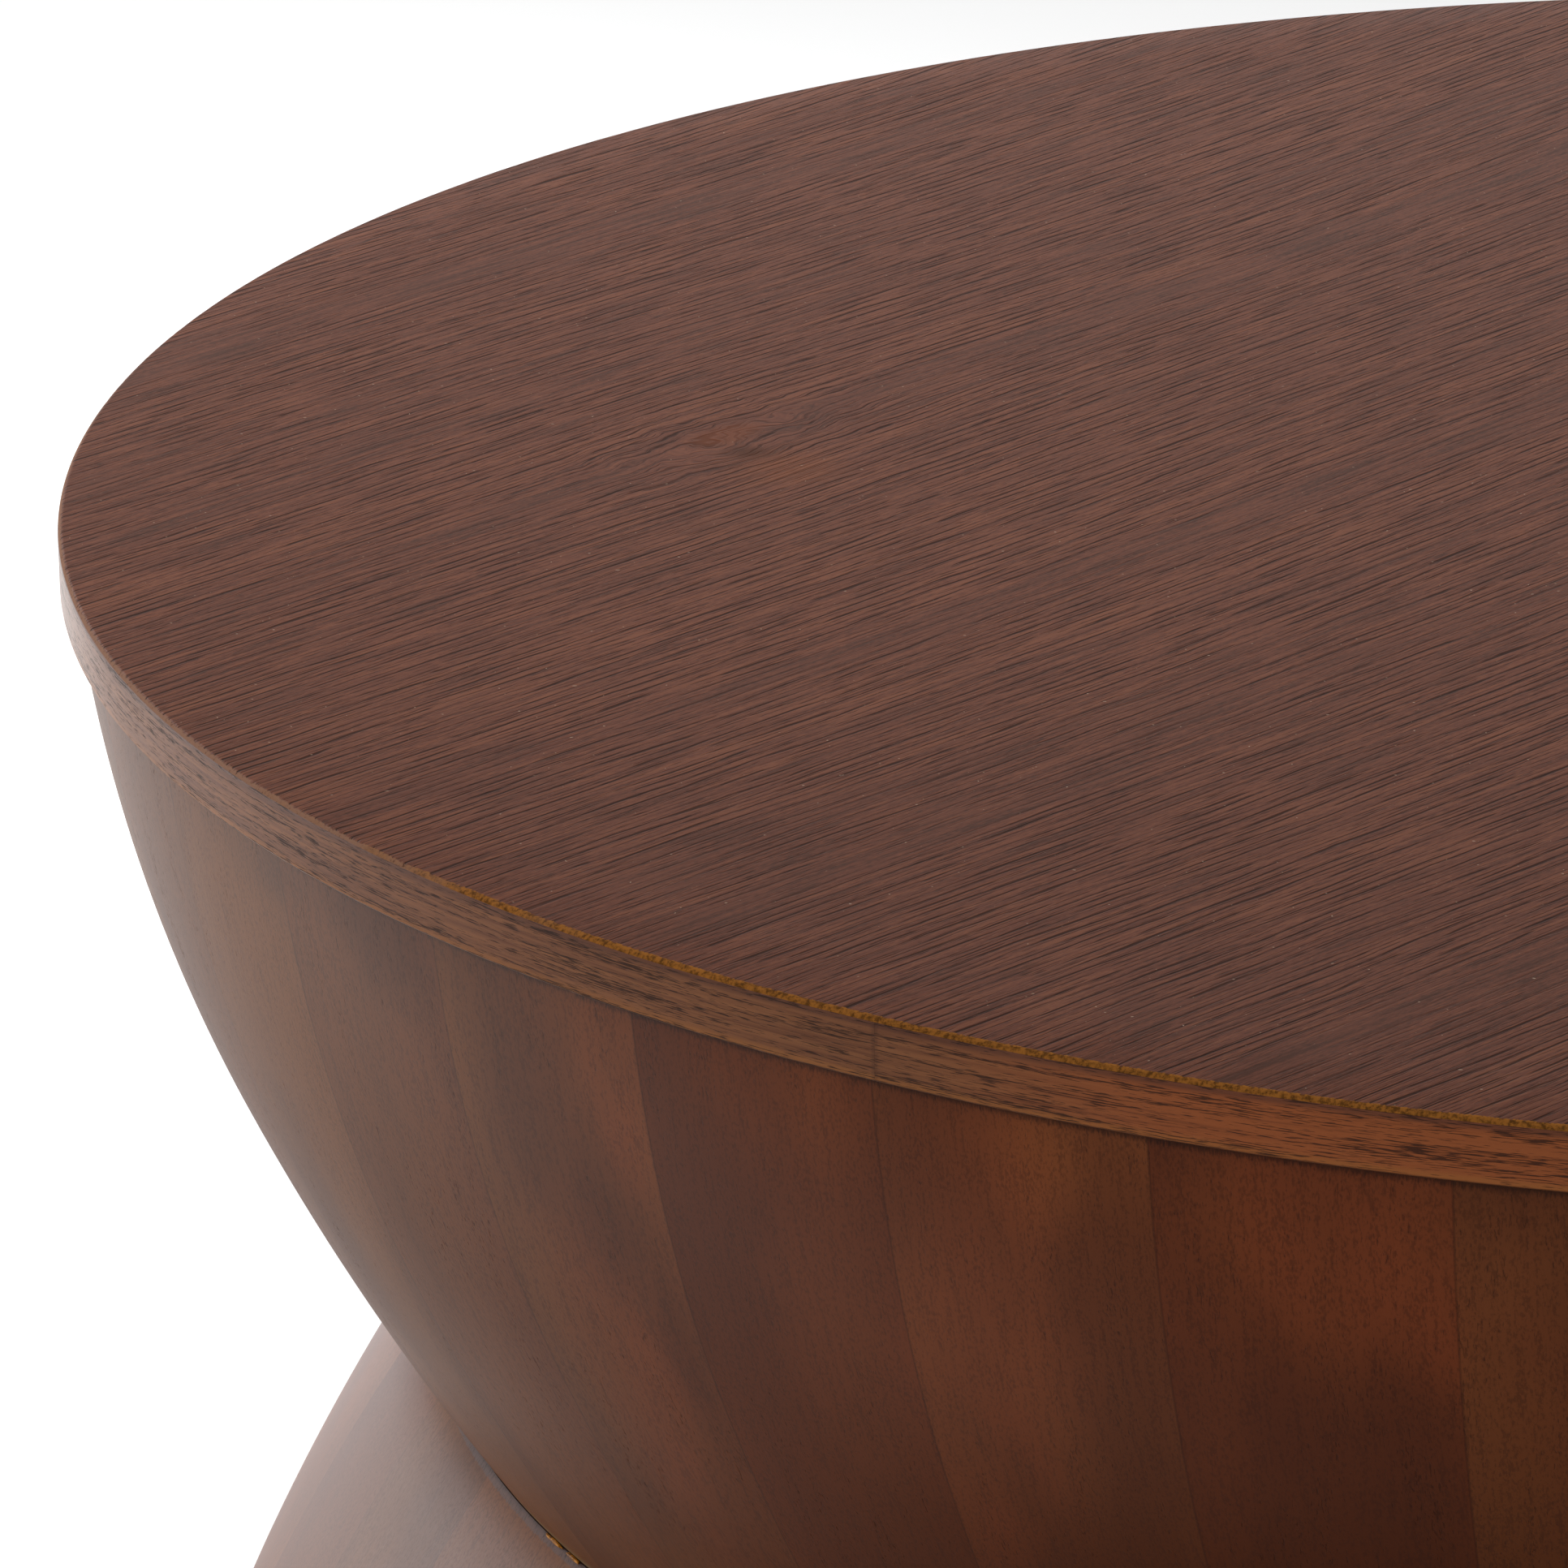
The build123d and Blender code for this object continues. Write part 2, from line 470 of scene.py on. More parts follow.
# %% Beads of dried glue: azimuth in degrees and length in metres
glue_beads = (
    (-147.9, 0.009),
    (-146.2, 0.007),
    (-128.0, 0.005),
    (-96.0, 0.006),
    (20.0, 0.007),
    (140.0, 0.008),
)
bead_radius, bead_level = 0.3624, 0.1981
bead_half_depth, bead_half_height = 0.0005, 0.0004


def make_dried_glue():
    """All the beads in one piece."""
    shell = bmesh.new()
    for azimuth, length in glue_beads:
        turn = radians(azimuth)
        size = Matrix.Diagonal((bead_half_depth, length / 2, bead_half_height, 1.0))
        middle = Vector((bead_radius * cos(turn), bead_radius * sin(turn), bead_level))
        place = Matrix.Translation(middle) @ Matrix.Rotation(turn, 4, "Z") @ size
        made = bmesh.ops.create_icosphere(shell, subdivisions=3, radius=1.0)
        for spot in made["verts"]:
            lump = noise.noise(Vector((azimuth + spot.co.x, spot.co.y * 3.0, spot.co.z)) * 1.7)
            spot.co = place @ (spot.co * (1.0 + 0.5 * lump))
    mesh = bpy.data.meshes.new("dried_glue")
    shell.to_mesh(mesh)
    shell.free()
    mesh.shade_smooth()
    piece = bpy.data.objects.new("dried_glue", mesh)
    bpy.context.scene.collection.objects.link(piece)
    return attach(piece, "root")


dried_glue = make_dried_glue()
print("glue beads:", len(glue_beads), "points:", len(dried_glue.data.vertices))

# %% [markdown]
# ## Wood is long marks along the grain
# Streaks, pores and stain clouds are all the same thing at different sizes: soft noise that is drawn out
# along the grain. One helper makes them, from grain coordinates whose first value runs along the grain
# and whose second runs across it, in metres. A mark is then asked for by its length and its width.


# %% Marks along the grain, and a soft spot
def marks(finish, grain, length, width, seed=0.0, detail=3.0, roughness=0.6):
    """Soft noise between 0 and 1 in marks about this long and this wide, in metres."""
    scale = (1 / length, 1 / width, 1.0)
    drawn = finish.make("Mapping", None, grain, (seed, seed, seed), (0, 0, 0), scale)
    return finish.cloud(drawn, detail=detail, roughness=roughness)


def soft_spot(finish, place, middle, reach):
    """1 at the middle of an oval spot, 0 beyond its reach."""
    away = finish.vector("SUBTRACT", place, (*middle, 0.0))
    return finish.length(finish.vector("DIVIDE", away, (*reach, 1.0))).rise(1.0, 0.1)


# %% [markdown]
# ## The finish of the face veneer
# The face is straight-grained, open-pored veneer, stained a dark reddish brown. Round a small knot the
# grain lines bend aside, the way water bends round a stone, and curl close to it. So the coordinates
# themselves are bent there, before any mark is drawn with them.

# %% Grain coordinates on the face
grain_turn = radians(57.0)
grain_bow = 0.0875
bow_middle = 0.05
sway_width = 0.014
ripple_width = 0.0012
curl_width = 0.012
knot_place = (-0.290, -0.008)
knot_reach = 0.009
knot_push = 0.8


def grain_on_face(finish, place):
    """Grain coordinates bent aside round the knot, and the distance from the knot."""
    turned = finish.make("VectorRotate", {"rotation_type": "Z_AXIS"}, place, Angle=-grain_turn)
    along, across, _ = finish.parts(turned)
    knot_along = knot_place[0] * cos(grain_turn) + knot_place[1] * sin(grain_turn)
    knot_across = knot_place[1] * cos(grain_turn) - knot_place[0] * sin(grain_turn)
    away_along = along - knot_along
    away_across = across - knot_across
    square = away_along * away_along * 0.25 + away_across * away_across
    bent = away_across * (1.0 - knot_push * knot_reach**2 / (square + knot_reach**2))
    bow = (along - bow_middle) ** 2.0 * grain_bow
    sway = finish.cloud(finish.point(along * 2.0, across * 3.0), detail=1.0) - 0.5
    ripple = finish.cloud(finish.point(along * 14.0, across * 30.0), detail=1.0) - 0.5
    curl = finish.cloud(finish.point(along * 60.0, across * 90.0), detail=2.0) - 0.5
    from_knot = square**0.5
    curled = from_knot.rise(0.035, 0.006) * curl * curl_width
    bent_grain = bent - bow + sway * sway_width + ripple * ripple_width + curled
    return finish.point(along, bent_grain), from_knot


print("grain turned", round(degrees(grain_turn)), "degrees; knot at", knot_place)

# %% [markdown]
# ### Streaks and open pores
# The knife that slices veneer cuts the pores lengthwise, and they show as thin dark grooves. A sine wave
# across the grain draws them at an even distance, wide ones three millimetres apart and fine ones about
# half as far. Noise makes them wander, and more noise breaks them off after one to three centimetres.
# Streaks and fibres in three browns fill the space between. The face is painted a little darker toward
# the front, a painted shade, and a few grains of pale dust are the last touch.

# %% The stained face, before its edge is sanded
face_light = paint("744734")
face_middle = paint("653c2e")
face_dark = paint("472c22")
face_pore = paint("180c08")
knot_eye = (-0.2825, -0.0209)
knot_glow = (-0.271, -0.033)
groove_wander = 11.0


def grooves(finish, grain, spacing, length, seed):
    """Thin open grooves about this far apart, each broken off after about this length; 1 in a groove."""
    _, across, _ = finish.parts(grain)
    wander = marks(finish, grain, length, spacing * 3, seed=seed, detail=2.0)
    wave = across * (2 * pi / spacing) + wander * groove_wander
    broken = marks(finish, grain, length * 0.4, spacing * 0.7, seed=seed + 1.0, detail=3.0)
    return wave.sum("SINE", wave).rise(0.55, 0.95) * broken.rise(0.42, 0.54)


def stained_face(finish, place):
    """Colour of the stained face, and its pores, 1 in a pore."""
    grain, from_knot = grain_on_face(finish, place)
    bands = marks(finish, grain, 0.9, 0.025, seed=1.0, detail=2.0)
    mottle = marks(finish, grain, 0.03, 0.012, seed=2.0, detail=2.0)
    streaks = marks(finish, grain, 0.04, 0.002, seed=3.0)
    fibres = marks(finish, grain, 0.0025, 0.0005, seed=4.0, detail=2.0)
    light = streaks * 0.45 + bands * 0.2 + mottle * 0.05 + fibres * 0.3
    colour = finish.blend(light.rise(0.49, 0.6), face_middle, face_light)
    colour = finish.blend(light.rise(0.51, 0.38) * 0.9, colour, face_dark)
    colour = finish.blend(mottle.rise(0.52, 0.36) * 0.12, colour, face_dark)
    wide = grooves(finish, grain, 0.0029, 0.07, 5.0)
    fine = grooves(finish, grain, 0.0016, 0.035, 8.0)
    pores = wide.sum("MAXIMUM", wide, fine * 0.65) * (bands + mottle * 0.4).rise(0.4, 0.75)
    colour = finish.blend(pores * 0.8, colour, face_pore)
    smudge = marks(finish, grain, 0.016, 0.0018, seed=9.0, detail=3.0)
    colour = finish.blend((smudge + (mottle - 0.5) * 0.4).rise(0.6, 0.75) * 0.5, colour, face_pore)
    colour = finish.blend(from_knot.rise(0.008, 0.003) * 0.6, colour, paint("6b3a22"))
    # Painted shade: the face is a little darker toward the front.
    _, front_to_back, _ = finish.parts(place)
    colour = finish.blend(front_to_back.rise(-0.10, -0.40) * 0.12, colour, face_pore)
    flat = finish.flattened(place)
    eye = soft_spot(finish, flat, knot_eye, (0.009, 0.008))
    glow = soft_spot(finish, flat, knot_glow, (0.020, 0.022))
    colour = finish.blend(eye * 0.7, colour, paint("3a1a04"))
    colour = finish.blend(glow * 0.3, colour, paint("7c4626"))
    dust = finish.cloud(place, scale=1100.0, detail=0.0)
    return finish.blend(dust.rise(0.87, 0.9) * 0.6, colour, paint("b09a86")), pores


print("red in the three browns:", [round(tone[0], 3) for tone in (face_light, face_middle, face_dark)])

# %% [markdown]
# ### The sanded edge
# Sandpaper went over the stained edge. Where the hand pressed hard, the line is amber and wide; further
# round it is a thin pale line, which is a painted highlight where the rounded edge catches the light. So
# one soft value says how worn each place is, and it sets both the width and the colour of the line. Fine
# noise makes the line ragged.

# %% The sanded edge of the face
amber_side = radians(-80.0)


def sanded_edge(finish, place):
    """How far the stain is sanded through here, and the colour of the line: amber where it is most worn,
    a painted highlight further round.
    """
    flat = finish.flattened(place)
    radius = finish.length(flat)
    toward = (cos(amber_side), sin(amber_side), 0.0)
    facing = finish.vector("DOT_PRODUCT", flat, toward, out="Value") / radius
    coarse = finish.cloud(place, scale=60.0, detail=2.0) - 0.5
    ragged = finish.cloud(place, scale=900.0, detail=3.0, roughness=0.7) - 0.5
    worn = (facing + coarse * 0.3).rise(0.48, 0.66)
    edge = radius + coarse * 0.0006 + ragged * 0.0016 + worn * 0.0007
    sanded_and_highlit_line = edge.rise(top_radius - 0.0010, top_radius - 0.0006)
    amber = finish.blend(ragged.rise(-0.16, 0.12), paint("523315"), paint("8a5724"))
    # The pale colour, where the line is least worn, is a painted highlight on the rounded edge.
    pale = finish.blend(ragged.rise(-0.2, -0.05), paint("4a2f22"), paint("7a5a49"))
    return sanded_and_highlit_line, finish.blend(worn, pale, amber)


print("the amber line is widest at azimuth", round(degrees(amber_side)))

# %% [markdown]
# ### The face as one material
# The stain, the grooves and the sanded line with its painted highlight meet in one shader. The grooves
# are also a bump a tenth of a millimetre deep, and they stop where the sandpaper took them away. The
# finish is a thin matt one, so its gloss is very low.


# %% The face veneer's finish
def face_finish():
    """Stain and grooves, and bare wood with a painted highlight along the sanded edge."""
    finish = Finish("stained_open_pored_veneer")
    place = finish.place()
    stain, pores = stained_face(finish, place)
    sanded_and_highlit_line, bare_wood_and_highlight = sanded_edge(finish, place)
    pores = pores * (1.0 - sanded_and_highlit_line)
    colour = finish.blend(sanded_and_highlit_line, stain, bare_wood_and_highlight)
    rough = 0.3 + sanded_and_highlit_line * 0.35 + pores * 0.1
    return finish.close(
        Base_Color=colour, Roughness=rough, Specular_IOR_Level=0.006,
        Normal=finish.dents(1.0 - pores, 0.0001),
    )


face_veneer.data.materials.append(face_finish())
print("face finish nodes:", len(face_veneer.active_material.node_tree.nodes))

# %% [markdown]
# ## The finish of the edge band
# The strip has the same stain, but its grain runs round the table, so its pores are fine dark dashes
# along the strip, in crowds. The stored grain coordinates keep them bent with it. Near the face, the
# strip's rounded edge is a cooler, darker line, and along its foot a thin dark line is painted shadow
# where the band overhangs the bowl. One end of the strip is redder than the other, so the butt seam
# shows as a step in colour with a thin dark line in it. A clear coat that grows with the viewing angle
# puts a faint white haze on the strip where it turns away.


# %% The edge band's finish
band_length = 2 * pi * top_radius


def band_finish():
    """Stain with its grain along the strip, a darker line along its top edge, a painted shadow along its
    foot, and the butt seam.
    """
    finish = Finish("stained_edge_strip")
    grain = finish.stored_grain()
    along, level, _ = finish.parts(grain)
    streaks = marks(finish, grain, 0.05, 0.0009, seed=1.0)
    drift = marks(finish, grain, 0.09, 0.006, seed=2.0, detail=2.0)
    dashes = marks(finish, grain, 0.006, 0.00025, seed=3.0, detail=2.0)
    crowd = marks(finish, grain, 0.05, 0.0014, seed=4.0, detail=1.0)
    light = streaks * 0.6 + drift * 0.4
    colour = finish.blend(light.rise(0.42, 0.62), paint("633b24"), paint("75492c"))
    redder_end = along.rise(0.0, 0.08) * along.rise(1.5, 1.2)
    colour = finish.blend(redder_end * 0.75, colour, paint("8a4720"))
    colour = finish.blend(light.rise(0.48, 0.34) * 0.6, colour, paint("4a2614"))
    cool = (level + drift * 0.0012).rise(top_level - 0.0024, top_level - 0.0008)
    colour = finish.blend(cool * 0.7, colour, paint("4a2a1e"))
    pale_foot = level.rise(rim_level + 0.0023, rim_level + 0.0007)
    colour = finish.blend(pale_foot * 0.5, colour, paint("8a5526"))
    # Painted shadow: the band's foot is darkened in its last half millimetre, where it overhangs the
    # bowl.
    colour = finish.blend(level.rise(rim_level + 0.0006, rim_level) * 0.8, colour, paint("2e160b"))
    pores = (dashes + (crowd - 0.5) * 0.5).rise(0.46, 0.37)
    colour = finish.blend(pores * 0.85, colour, paint("200d06"))
    seam = along.sum("PINGPONG", along, band_length / 2)
    colour = finish.blend(seam.rise(0.0012, 0.0002) * 0.3, colour, paint("2a140c"))
    slant = finish.make("LayerWeight", None, 0.5, out="Facing")
    return finish.close(
        Base_Color=colour, Roughness=0.42 + pores * 0.2, Specular_IOR_Level=0.13,
        Coat_Weight=slant.rise(0.74, 0.96) * 0.5, Coat_Roughness=0.35,
        Normal=finish.dents(1.0 - pores + streaks * 0.3, 0.00006),
    )


edge_band.data.materials.append(band_finish())
print("band finish nodes:", len(edge_band.active_material.node_tree.nodes))

# %% [markdown]
# ## The finish of the staves
# Every stave took the stain in its own way: dark clouds, a red flame, warm orange lights, and short dark
# pores that run down the wood. Most of it comes from noise. A few larger spots are listed one by one,
# where a stave has a flame or a smudge of its own. The dark spots tint the clouds, and the deep ones are
# painted over them.

# %% Large stain marks: azimuth in degrees, level, half width and half height in metres
side_radius = 0.42
spot_fade = 1.4
dark_stains = (
    (-111.0, 0.342, 0.016, 0.060),
    (-107.3, 0.322, 0.034, 0.050),
    (-108.8, 0.362, 0.012, 0.034),
    (-100.0, 0.389, 0.030, 0.022),
    (-131.0, 0.345, 0.010, 0.022),
    (-143.5, 0.350, 0.010, 0.014),
    (-143.0, 0.386, 0.022, 0.006),
    (-137.2, 0.384, 0.020, 0.007),
)
warm_stains = (
    (-103.9, 0.372, 0.014, 0.024),
    (-105.9, 0.379, 0.012, 0.026),
    (-102.5, 0.361, 0.009, 0.018),
    (-114.7, 0.366, 0.020, 0.060),
    (-116.1, 0.310, 0.020, 0.060),
    (-127.4, 0.372, 0.009, 0.026),
    (-129.8, 0.292, 0.022, 0.050),
)
deep_stains = (
    (-128.9, 0.336, 0.017, 0.026),
    (-127.3, 0.309, 0.009, 0.026),
)


def stains(finish, place, listed):
    """All the listed spots together, between 0 and 1."""
    total = None
    for azimuth, level, width, height in listed:
        middle = (radians(azimuth) * side_radius, level)
        spot = soft_spot(finish, place, middle, (width * spot_fade, height * spot_fade))
        total = spot if total is None else total.sum("MAXIMUM", total, spot)
    return total


print("placed stain marks:", len(dark_stains) + len(warm_stains) + len(deep_stains))

# %% [markdown]
# ### From the rim down to the waist
# A bowl's side is not one even brown. It is painted darker toward the waist and at the front, a painted
# shade where the side faces down, and on the left it is tinted a greyish olive, a painted reflection. A
# cosine of the azimuth says which way each place faces, and it closes on itself round the bowl, so it
# leaves no line at the back. The waist itself was rubbed pale on its last edge, which also carries a
# painted highlight, and a skin of old glue and dirt lies under it. The flat insides stay raw.

# %% What changes round the bowl and down its side: two azimuths in degrees, then the helpers
# The first azimuth is where the painted shade on the side is darkest, the second where the side has its
# greyish olive painted reflection.
painted_shade_side = -75.0
painted_reflection_side = -152.0


def turned_to(azimuth, direction):
    """1 where the side faces this direction, 0 at right angles to it, -1 on the far side."""
    apart = azimuth - radians(direction)
    return apart.sum("COSINE", apart)


def glue_line(number, azimuth):
    """1 on the hairline where two staves meet; the lower bowl's staves have the higher numbers."""
    lower_bowl = number.rise(lower_numbers_from - 10.0, lower_numbers_from - 5.0)
    from_seam = azimuth - first_seam["upper"] - lower_bowl * (first_seam["lower"] - first_seam["upper"])
    nearest = from_seam.sum("PINGPONG", from_seam, stave_pitch / 2)
    return (nearest * side_radius).rise(0.0004, 0.0001)


def waist_edge(finish, colour, from_waist, ragged):
    """Rubbed pale wood with a painted highlight on the upper bowl's last edge, and squeezed-out glue and
    dirt under it.
    """
    # The pale band on the upper bowl's last edge is rubbed wood and a painted highlight where the edge
    # catches the light.
    rubbed_and_highlit_edge = from_waist.rise(0.0045, 0.0006) * from_waist.rise(-0.0001, 0.0001)
    colour = finish.blend(rubbed_and_highlit_edge * 0.4, colour, paint("7a6e52"))
    skin = (from_waist + (ragged - 0.5) * 0.0012).rise(-0.0022, -0.0018) * from_waist.rise(0.0, -0.0002)
    colour = finish.blend(skin * 0.5, colour, paint("4a4448"))
    dirt = skin * (ragged.rise(0.45, 0.3) * 0.6 + from_waist.rise(-0.0012, -0.0002) * 0.5)
    return finish.blend(dirt, colour, paint("1d0f09"))


def raw_inside(finish, place, from_waist):
    """1 on the flat inside of a stave, 0 on its turned outside, and soft on the cut ends between."""
    radius = finish.length(finish.flattened(place))
    rim_share = from_waist.sum("ABSOLUTE", from_waist) / (rim_point.y - waist_point.y)
    straight = waist_point.x + rim_share * (rim_point.x - waist_point.x)
    return (straight - radius).rise(wall * 0.4, wall * 0.6)


# The printed azimuths are where the painted shade is darkest and where the painted reflection lies.
print("stain is thickest at azimuth", painted_shade_side, "and has its olive cast at", painted_reflection_side)

# %% [markdown]
# ### Stain, bare wood and varnish
# The stain's own colour is two browns in soft clouds, with the placed spots over them. The varnish is a
# clear coat. It puts a faint haze on the wood near the rim and on the lower bowl, and how much haze shows
# depends on how steeply the side is seen.

# %% Stain, bare wood and varnish
stave_paint = {
    "pale": ("65341a", "6e3c1d"),
    "red": ("5b2b15", "643117"),
    "olive": ("5e3018", "67381b"),
    "brown": ("5c2d15", "653318"),
}
stain_shade = paint("2f140a")
stain_pooled = paint("1c0c06")


def stained_side(finish, tone, azimuth, level, clouds, wisps):
    """Colour before any grain: two browns of stain, spots, a painted olive reflection, and painted shade
    under the rim, low down and at the front.
    """
    on_side = finish.point(azimuth * side_radius, level + (wisps - 0.5) * 0.02)
    dark_spots = stains(finish, on_side, dark_stains)
    warm_spots = stains(finish, on_side, warm_stains)
    deep_spots = stains(finish, on_side, deep_stains)
    dark, light = (paint(code) for code in stave_paint[tone])
    colour = finish.blend((clouds * 0.6 + wisps * 0.4).rise(0.3, 0.7), dark, light)
    # The side facing this azimuth is tinted greyish olive: a painted reflection of the white room at a
    # glancing angle.
    olive = turned_to(azimuth, painted_reflection_side).rise(0.9, 0.99)
    colour = finish.blend(olive * 0.3, colour, paint("57452a"))
    # Painted shade: the side is a little darker in the four centimetres under the rim, where the band
    # above shades it.
    painted_shade_under_rim = level.rise(rim_level - 0.0425, rim_level - 0.0005)
    shade = (clouds - dark_spots * 0.1 + warm_spots * 0.1 - painted_shade_under_rim * 0.08).rise(0.55, 0.25)
    colour = finish.blend(shade * 0.35, colour, stain_shade)
    colour = finish.blend(deep_spots * 0.5, colour, stain_shade)
    from_waist = level - waist_level
    # Painted shade: the side is darker toward the waist, where it faces down, and darkest toward the
    # front.
    low = from_waist.rise(0.18, 0.04) * (from_waist.rise(-0.002, 0.0) * 0.7 + 0.3)
    painted_shade_low_and_front = low * (turned_to(azimuth, painted_shade_side).rise(0.4, 0.85) * 0.9 + 0.15)
    colour = finish.blend(painted_shade_low_and_front, colour, paint("381603"))
    return finish.blend(warm_spots * wisps.rise(0.2, 0.7) * 0.3, colour, paint("74341a"))


def bare_wood(finish, light, seam):
    """Raw wood and its glue lines, as the flat inside of a stave shows them."""
    wood = finish.blend(light.rise(1.1, 1.9), paint("86603c"), paint("b08a5c"))
    return finish.blend(seam * 0.5, wood, paint("4a3420"))


def varnish(finish, from_waist):
    """Weight of the clear coat, which depends on how steeply the side is seen."""
    slant = finish.make("LayerWeight", None, 0.5, out="Facing")
    upper_haze = slant.rise(0.22, 0.45) * 0.22 - slant.rise(0.56, 0.74) * 0.13 + 0.04
    lower_haze = slant.rise(0.3, 0.7) * 0.35
    return upper_haze * from_waist.rise(0.08, 0.18) + lower_haze * from_waist.rise(0.0, -0.02)


print("paints for the staves:", 2 * len(stave_paint))

# %% [markdown]
# ### One finish for each tone
# Fibres, pores and specks come over the stain. Stain pools in the corner under the band, and the shoulder
# of the lower bowl turns pale mauve grey with specks of dust and a painted sheen. The marks use each
# stave's own number as a seed, so they stop at the glue lines.

# %% The staves' finish
figure_step = 3.7


def stave_finish(tone):
    """Stain, grain and edges on the turned side, raw wood inside, and a clear coat over the stain."""
    finish = Finish(f"stained_stave_{tone}")
    grain = finish.stored_grain()
    _, _, number = finish.parts(grain)
    own = finish.make("Mapping", None, grain, (0, 0, 0), (0, 0, 0), (1.0, 1.0, figure_step))
    place = finish.place()
    x, y, level = finish.parts(place)
    azimuth = x.sum("ARCTAN2", y, x)
    from_waist = level - waist_level
    seam = glue_line(number, azimuth)
    clouds = marks(finish, own, 0.09, 0.05, seed=1.0, detail=2.0, roughness=0.4)
    wisps = marks(finish, own, 0.05, 0.025, seed=2.0, detail=2.0, roughness=0.5)
    fibres = marks(finish, own, 0.012, 0.0016, seed=3.0, detail=3.0)
    dashes = marks(finish, own, 0.002, 0.0005, seed=4.0, detail=1.0)
    crowd = marks(finish, own, 0.05, 0.008, seed=5.0, detail=2.0)
    specks = marks(finish, own, 0.0011, 0.0006, seed=6.0, detail=2.0)
    colour = stained_side(finish, tone, azimuth, level, clouds, wisps)
    grain_light = fibres * 0.4 + specks * 0.6
    colour = finish.blend(grain_light.rise(0.54, 0.38) * 0.4, colour, paint("2c140a"))
    # Pores crowd a little closer under the band, which also paints shade there.
    pores_and_painted_shade_under_band = level.rise(rim_level - 0.0125, rim_level - 0.0015)
    crowded = dashes + (crowd - 0.5) * 0.5 - pores_and_painted_shade_under_band * 0.05
    pores = crowded.rise(0.31, 0.25) * from_waist.rise(0.0, 0.08)
    colour = finish.blend(pores * 0.35, colour, paint("190a05"))
    pooled = (level + (dashes - 0.5) * 0.003).rise(rim_level - 0.0032, rim_level - 0.0015)
    colour = finish.blend(pooled * 0.7, colour, stain_pooled)
    colour = finish.blend(seam * 0.35, colour, stain_pooled)
    # The lower bowl's shoulder turns a pale mauve grey: specks of dust, and a painted sheen of the light
    # reflected from above.
    dust_and_painted_sheen = from_waist.rise(-0.0005, -0.01) * from_waist.rise(-0.10, -0.02)
    colour = finish.blend(dust_and_painted_sheen * (specks * 0.2 + 0.06), colour, paint("8b8286"))
    colour = waist_edge(finish, colour, from_waist, dashes)
    raw = raw_inside(finish, place, from_waist)
    colour = finish.blend(raw, colour, bare_wood(finish, grain_light + clouds * 2.0, seam))
    return finish.close(
        Base_Color=colour, Roughness=0.4 + pores * 0.15, Specular_IOR_Level=0.04,
        Coat_Weight=varnish(finish, from_waist) * (1.0 - raw), Coat_Roughness=0.35,
        Normal=finish.dents(1.0 - pores + specks * 0.6, 0.00006),
    )


for tone in stave_tones:
    finish = stave_finish(tone)
    for bowl in ("upper", "lower"):
        staves[bowl, tone].data.materials.append(finish)
print("stave finish nodes:", len(staves["upper", "pale"].active_material.node_tree.nodes))

# %% [markdown]
# ## The finish of the dried glue
# Old glue is clear amber, darker where it is thick, with a skin that is glossy in places and dusty in
# others. A little noise in the colour and in the roughness does all of it.


# %% The glue's finish
def glue_finish():
    """Clear amber, in lumps."""
    finish = Finish("dried_amber_glue")
    cloud = finish.cloud(finish.place(), scale=700.0, detail=3.0)
    colour = finish.blend(cloud.rise(0.35, 0.6), paint("5c3406"), paint("a86a12"))
    rough = 0.35 + cloud * 0.3
    lumps = finish.dents(cloud, 0.0002)
    return finish.close(Base_Color=colour, Roughness=rough, Specular_IOR_Level=0.15, Normal=lumps)


dried_glue.data.materials.append(glue_finish())
print("glue finish nodes:", len(dried_glue.active_material.node_tree.nodes))

# %% [markdown]
# ## The pieces inside
# Nobody stains the inside. Plywood shows its layers on every cut edge, and battens and boards show plain
# straight grain. The screws are zinc plated, and the pads under the foot are felt. The solids of these
# pieces are shown as they are, so each finish goes on the piece and not on its mesh.


# %% Wood, plywood, zinc and felt for the pieces inside
def raw_wood(name, dark, light, along_axis):
    """Unfinished wood whose grain runs along one axis of the table."""
    finish = Finish(name)
    stretch = [140.0, 140.0, 140.0]
    stretch[along_axis] = 8.0
    lines = finish.vector("MULTIPLY", finish.place(), stretch)
    grain = finish.cloud(lines, detail=4.0, roughness=0.6)
    broad = finish.cloud(lines, scale=0.15, detail=1.0)
    colour = finish.blend((grain * 0.7 + broad * 0.3).rise(0.35, 0.65), paint(dark), paint(light))
    return finish.close(Base_Color=colour, Roughness=0.75, Normal=finish.dents(grain, 0.0001))


two_layers = 0.004


def plywood():
    """Nine layers to the board, crossed one over the other, seen as stripes on every cut edge."""
    finish = Finish("raw_plywood")
    place = finish.place()
    _, _, level = finish.parts(place)
    waver = finish.cloud(place, scale=30.0, detail=1.0) * 0.0004
    layers = (level + waver) * (1 / two_layers)
    layer = layers.sum("PINGPONG", layers, 0.5)
    grain = finish.cloud(finish.vector("MULTIPLY", place, (9.0, 160.0, 400.0)), detail=3.0)
    colour = finish.blend(grain.rise(0.3, 0.7), paint("b08a5e"), paint("c9a679"))
    _, _, upright = finish.parts(finish.make("NewGeometry", None, out="Normal"))
    edge = upright.sum("ABSOLUTE", upright).rise(0.9, 0.7)
    colour = finish.blend(layer.rise(0.22, 0.28) * edge * 0.6, colour, paint("7d5a38"))
    return finish.close(Base_Color=colour, Roughness=0.8, Normal=finish.dents(grain, 0.00008))


